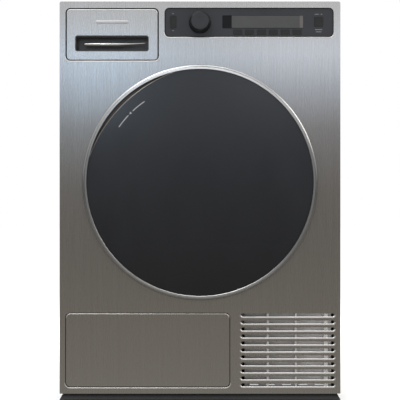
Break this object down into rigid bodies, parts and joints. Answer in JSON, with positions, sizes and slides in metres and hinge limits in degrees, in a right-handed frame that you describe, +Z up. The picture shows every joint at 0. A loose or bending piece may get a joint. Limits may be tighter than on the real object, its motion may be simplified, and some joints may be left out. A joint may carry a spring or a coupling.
{
  "type": "clothes dryer",
  "caption": "Freestanding front-loading heat-pump clothes dryer with a brushed-steel front, large dark round door, water drawer, knob, display, service flap and slotted grille.",
  "frame": {"origin": "on the floor, below the centre of the whole dryer's bounding box", "axes": "+X to the right seen from the front, +Y to the back, +Z up; the door faces -Y"},
  "size_m": [0.595, 0.63, 0.85],
  "materials": {
    "brushed_steel": "vertically brushed",
    "polished_steel": "polished",
    "drum_steel": "satin",
    "galvanised": "galvanised",
    "cabinet_paint": "satin",
    "worktop_laminate": "fine texture",
    "base_moulding": "matte",
    "fascia_plastic": "satin",
    "display": "gloss",
    "board": "resist",
    "button": "satin",
    "grip_plastic": "gloss",
    "white_plastic": "moulded",
    "grey_plastic": "moulded",
    "dark_plastic": "moulded",
    "door_glass": "dark tinted",
    "rubber": "matte",
    "compressor_paint": "gloss",
    "fins": "bare"
  },
  "bodies": {
    "cabinet": {"front_panel": "brushed_steel", "side_panel_left": "cabinet_paint", "side_panel_right": "cabinet_paint", "worktop": "worktop_laminate", "rear_panel": "galvanised", "rear_duct_cover": "galvanised", "base_pan": "base_moulding", "control_fascia": "fascia_plastic", "display_window": "display", "control_board": "board", "tank_housing": "grey_plastic", "hinge_bracket": "galvanised", "hinge_pin": "galvanised", "door_catch": "dark_plastic", "door_seal": "rubber", "front_bulkhead": "grey_plastic", "rear_bearing": "galvanised", "drive_belt": "rubber", "drive_motor": "galvanised", "blower_housing": "grey_plastic", "compressor": "compressor_paint", "exchanger_coils": "fins", "exchanger_filter": "white_plastic", "exchanger_cover": "grey_plastic", "flap_frame": "dark_plastic", "grille_insert": "dark_plastic", "mains_inlet": "dark_plastic", "drain_spigot": "white_plastic", "panel_screws": "galvanised"},
    "door": {"door_ring": "polished_steel", "door_glass": "door_glass", "door_frame": "dark_plastic", "door_liner": "grey_plastic", "door_hinge_arm": "galvanised", "door_hook": "white_plastic"},
    "drum": {"drum_shell": "drum_steel", "drum_lifters": "grey_plastic", "drum_rear_wall": "drum_steel"},
    "roller_left": {"drum_roller_left": "rubber"},
    "roller_right": {"drum_roller_right": "rubber"},
    "rotor": {"motor_shaft": "galvanised", "blower_impeller": "dark_plastic"},
    "drawer": {"drawer_front": "brushed_steel", "drawer_grip": "grip_plastic", "water_tank": "white_plastic"},
    "filter": {"lint_filter": "white_plastic"},
    "flap": {"service_flap": "brushed_steel"},
    "knob": {"program_knob": "fascia_plastic"},
    "power": {"power_button": "button"},
    "start": {"start_button": "button"},
    "option_1": {"option_button_1": "button"},
    "option_2": {"option_button_2": "button"},
    "option_3": {"option_button_3": "button"},
    "option_4": {"option_button_4": "button"},
    "option_5": {"option_button_5": "button"},
    "option_6": {"option_button_6": "button"},
    "leg_front_left": {"foot_front_left": "base_moulding"},
    "leg_front_right": {"foot_front_right": "base_moulding"},
    "leg_rear_left": {"foot_rear_left": "base_moulding"},
    "leg_rear_right": {"foot_rear_right": "base_moulding"}
  },
  "joints": [
    {"name": "door_hinge", "type": "hinge", "parent": "cabinet", "child": "door", "pos_m": [0.239, -0.3045, 0.466], "axis": [0, 0, 1], "range_deg": [0, 155]},
    {"name": "drum_spin", "type": "hinge", "parent": "cabinet", "child": "drum", "pos_m": [0, 0, 0.466], "axis": [0, 1, 0], "continuous": true},
    {"name": "roller_left_spin", "type": "hinge", "parent": "cabinet", "child": "roller_left", "pos_m": [-0.15265, -0.188, 0.2016], "axis": [0, 1, 0], "continuous": true},
    {"name": "roller_right_spin", "type": "hinge", "parent": "cabinet", "child": "roller_right", "pos_m": [0.15265, -0.188, 0.2016], "axis": [0, 1, 0], "continuous": true},
    {"name": "rotor_spin", "type": "hinge", "parent": "cabinet", "child": "rotor", "pos_m": [0.19, 0.153, 0.108], "axis": [0, 1, 0], "continuous": true},
    {"name": "drawer_slide", "type": "slide", "parent": "cabinet", "child": "drawer", "axis": [0, -1, 0], "range_m": [0, 0.4]},
    {"name": "filter_lift", "type": "slide", "parent": "cabinet", "child": "filter", "axis": [0, 0, 1], "range_m": [0, 0.1]},
    {"name": "flap_hinge", "type": "hinge", "parent": "cabinet", "child": "flap", "pos_m": [-0.1108, -0.285, 0.0488], "axis": [1, 0, 0], "range_deg": [0, 90]},
    {"name": "knob_turn", "type": "hinge", "parent": "cabinet", "child": "knob", "pos_m": [0, -0.301, 0.8055], "axis": [0, 1, 0], "continuous": true},
    {"name": "power_press", "type": "slide", "parent": "cabinet", "child": "power", "axis": [0, 1, 0], "range_m": [0, 0.0015], "stiffness_N_per_m": 400},
    {"name": "start_press", "type": "slide", "parent": "cabinet", "child": "start", "axis": [0, 1, 0], "range_m": [0, 0.0015], "stiffness_N_per_m": 400},
    {"name": "option_1_press", "type": "slide", "parent": "cabinet", "child": "option_1", "axis": [0, 1, 0], "range_m": [0, 0.0015], "stiffness_N_per_m": 400},
    {"name": "option_2_press", "type": "slide", "parent": "cabinet", "child": "option_2", "axis": [0, 1, 0], "range_m": [0, 0.0015], "stiffness_N_per_m": 400},
    {"name": "option_3_press", "type": "slide", "parent": "cabinet", "child": "option_3", "axis": [0, 1, 0], "range_m": [0, 0.0015], "stiffness_N_per_m": 400},
    {"name": "option_4_press", "type": "slide", "parent": "cabinet", "child": "option_4", "axis": [0, 1, 0], "range_m": [0, 0.0015], "stiffness_N_per_m": 400},
    {"name": "option_5_press", "type": "slide", "parent": "cabinet", "child": "option_5", "axis": [0, 1, 0], "range_m": [0, 0.0015], "stiffness_N_per_m": 400},
    {"name": "option_6_press", "type": "slide", "parent": "cabinet", "child": "option_6", "axis": [0, 1, 0], "range_m": [0, 0.0015], "stiffness_N_per_m": 400},
    {"name": "leg_front_left_screw", "type": "slide", "parent": "cabinet", "child": "leg_front_left", "axis": [0, 0, 1], "range_m": [-0.015, 0]},
    {"name": "leg_front_right_screw", "type": "slide", "parent": "cabinet", "child": "leg_front_right", "axis": [0, 0, 1], "range_m": [-0.015, 0]},
    {"name": "leg_rear_left_screw", "type": "slide", "parent": "cabinet", "child": "leg_rear_left", "axis": [0, 0, 1], "range_m": [-0.015, 0]},
    {"name": "leg_rear_right_screw", "type": "slide", "parent": "cabinet", "child": "leg_rear_right", "axis": [0, 0, 1], "range_m": [-0.015, 0]}
  ],
  "couplings": [
    {"joint": "roller_left_spin", "follows": "drum_spin", "ratio": -9.1667},
    {"joint": "roller_right_spin", "follows": "drum_spin", "ratio": -9.1667},
    {"joint": "rotor_spin", "follows": "drum_spin", "ratio": 39.286}
  ]
}
